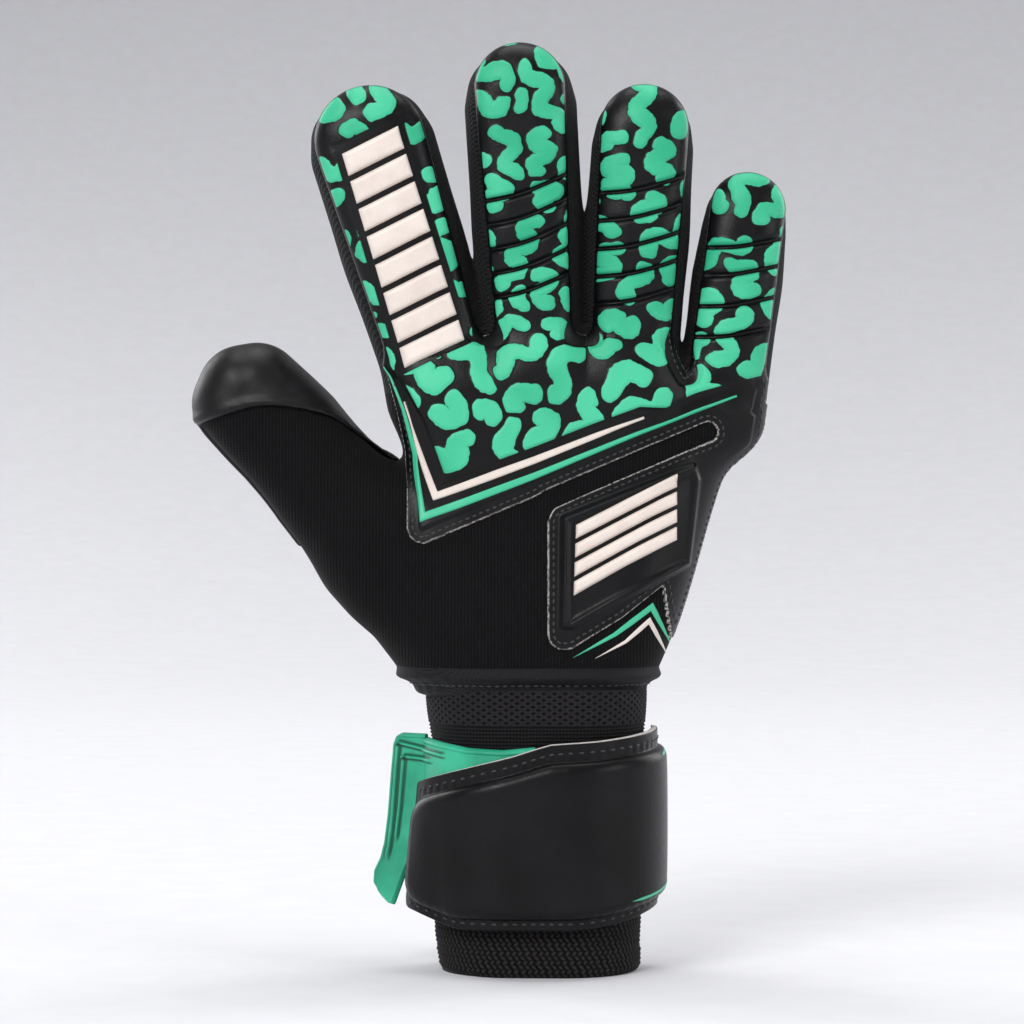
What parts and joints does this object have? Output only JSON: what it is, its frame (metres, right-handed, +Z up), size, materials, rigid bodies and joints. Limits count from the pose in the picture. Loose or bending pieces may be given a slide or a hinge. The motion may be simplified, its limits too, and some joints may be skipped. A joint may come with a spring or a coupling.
{
  "type": "goalkeeper glove",
  "caption": "Right-hand goalkeeper glove with an embossed backhand, latex palm, mesh gussets, curling fingers and a wrap-around wrist strap with a rubber pull.",
  "frame": {"origin": "centre of the cuff's opening, in the plane of its hem", "axes": "+Z up the hand to the fingertips, +X to the little finger, +Y out of the palm, so the back of the hand faces -Y"},
  "size_m": [0.1769, 0.0574, 0.2699],
  "materials": {
    "cuff_knit": "chunky ribbed knit elastic",
    "band_knit": "stretch knit with a raised diamond texture",
    "welt_fabric": "folded knit seam",
    "neoprene": "fine ribbed knit over neoprene",
    "mesh": "twill mesh",
    "lining_fabric": "brushed jersey",
    "foam": "open cell foam",
    "palm_latex": "matt latex foam",
    "thumb_latex": "smooth latex",
    "panel_skin": "satin polyurethane",
    "panel_green": "satin polyurethane print",
    "print_white": "satin polyurethane print",
    "print_green": "satin polyurethane print",
    "strap_skin": "satin polyurethane",
    "tab_rubber": "moulded rubber, satin",
    "hook": "moulded hooks",
    "loop": "napped loops"
  },
  "bodies": {
    "hand": {"cuff_tube": "cuff_knit", "cuff_hem": "cuff_knit", "cuff_seam": "cuff_knit", "wrist_band": "band_knit", "strap_anchor": "strap_skin", "loop_pad": "loop", "hand_lining": "lining_fabric", "palm_foam": "foam", "palm_latex": "palm_latex", "backhand_neoprene": "neoprene", "knuckle_padding": "foam", "knuckle_panel": "panel_skin", "chevron_white": "print_white", "chevron_green": "print_green", "emblem_patch": "panel_skin", "emblem_bars": "print_white", "wrist_welt": "welt_fabric", "index_base_bars": "print_white", "web_index_middle": "mesh", "web_middle_ring": "mesh", "web_ring_little": "mesh", "side_gusset_index": "mesh", "side_gusset_little": "mesh"},
    "index": {"index_lining": "lining_fabric", "index_gusset": "mesh", "index_palm_foam": "foam", "index_palm_latex": "palm_latex", "index_back_panel": "panel_green", "index_flex": "panel_green", "index_bars": "print_white"},
    "middle": {"middle_lining": "lining_fabric", "middle_gusset": "mesh", "middle_palm_foam": "foam", "middle_palm_latex": "palm_latex", "middle_back_panel": "panel_green", "middle_flex": "panel_green"},
    "ring": {"ring_lining": "lining_fabric", "ring_gusset": "mesh", "ring_palm_foam": "foam", "ring_palm_latex": "palm_latex", "ring_back_panel": "panel_green", "ring_flex": "panel_green"},
    "little": {"little_lining": "lining_fabric", "little_gusset": "mesh", "little_palm_foam": "foam", "little_palm_latex": "palm_latex", "little_back_panel": "panel_green", "little_flex": "panel_green"},
    "thumb": {"thumb_lining": "lining_fabric", "thumb_back": "neoprene", "thumb_latex_wrap": "thumb_latex", "thumb_flex": "neoprene"},
    "strap": {"strap_flap": "strap_skin", "strap_padding": "strap_skin", "hook_pad": "hook", "tab_base": "tab_rubber"},
    "pull": {"pull_tab": "tab_rubber"}
  },
  "joints": [
    {"name": "index_curl", "type": "hinge", "parent": "hand", "child": "index", "pos_m": [-0.0376, 0, 0.20486], "axis": [-0.9563, 0, -0.2924], "range_deg": [0, 75], "stiffness_Nm_per_rad": 0.12, "deforming": ["index_flex"]},
    {"name": "middle_curl", "type": "hinge", "parent": "hand", "child": "middle", "pos_m": [-0.00281, -0.002, 0.21295], "axis": [-0.9983, 0, -0.0576], "range_deg": [0, 75], "stiffness_Nm_per_rad": 0.12, "deforming": ["middle_flex"]},
    {"name": "ring_curl", "type": "hinge", "parent": "hand", "child": "ring", "pos_m": [0.02863, -0.001, 0.20895], "axis": [-0.998, 0, 0.0628], "range_deg": [0, 75], "stiffness_Nm_per_rad": 0.12, "deforming": ["ring_flex"]},
    {"name": "little_curl", "type": "hinge", "parent": "hand", "child": "little", "pos_m": [0.05741, 0.0015, 0.19381], "axis": [-0.9912, 0, 0.1323], "range_deg": [0, 75], "stiffness_Nm_per_rad": 0.12, "deforming": ["little_flex"]},
    {"name": "thumb_curl", "type": "hinge", "parent": "hand", "child": "thumb", "pos_m": [-0.06985, 0.003, 0.14805], "axis": [-0.766, 0, -0.6428], "range_deg": [0, 40], "stiffness_Nm_per_rad": 0.15, "deforming": ["thumb_flex"]},
    {"name": "strap_open", "type": "hinge", "parent": "hand", "child": "strap", "pos_m": [0.0341, 0.0022, 0.044], "axis": [0, 0, 1], "range_deg": [0, 110]},
    {"name": "tab_peel", "type": "hinge", "parent": "strap", "child": "pull", "pos_m": [-0.0343, -0.0038, 0.044], "axis": [0, 0, 1], "range_deg": [0, 45], "stiffness_Nm_per_rad": 0.05}
  ]
}
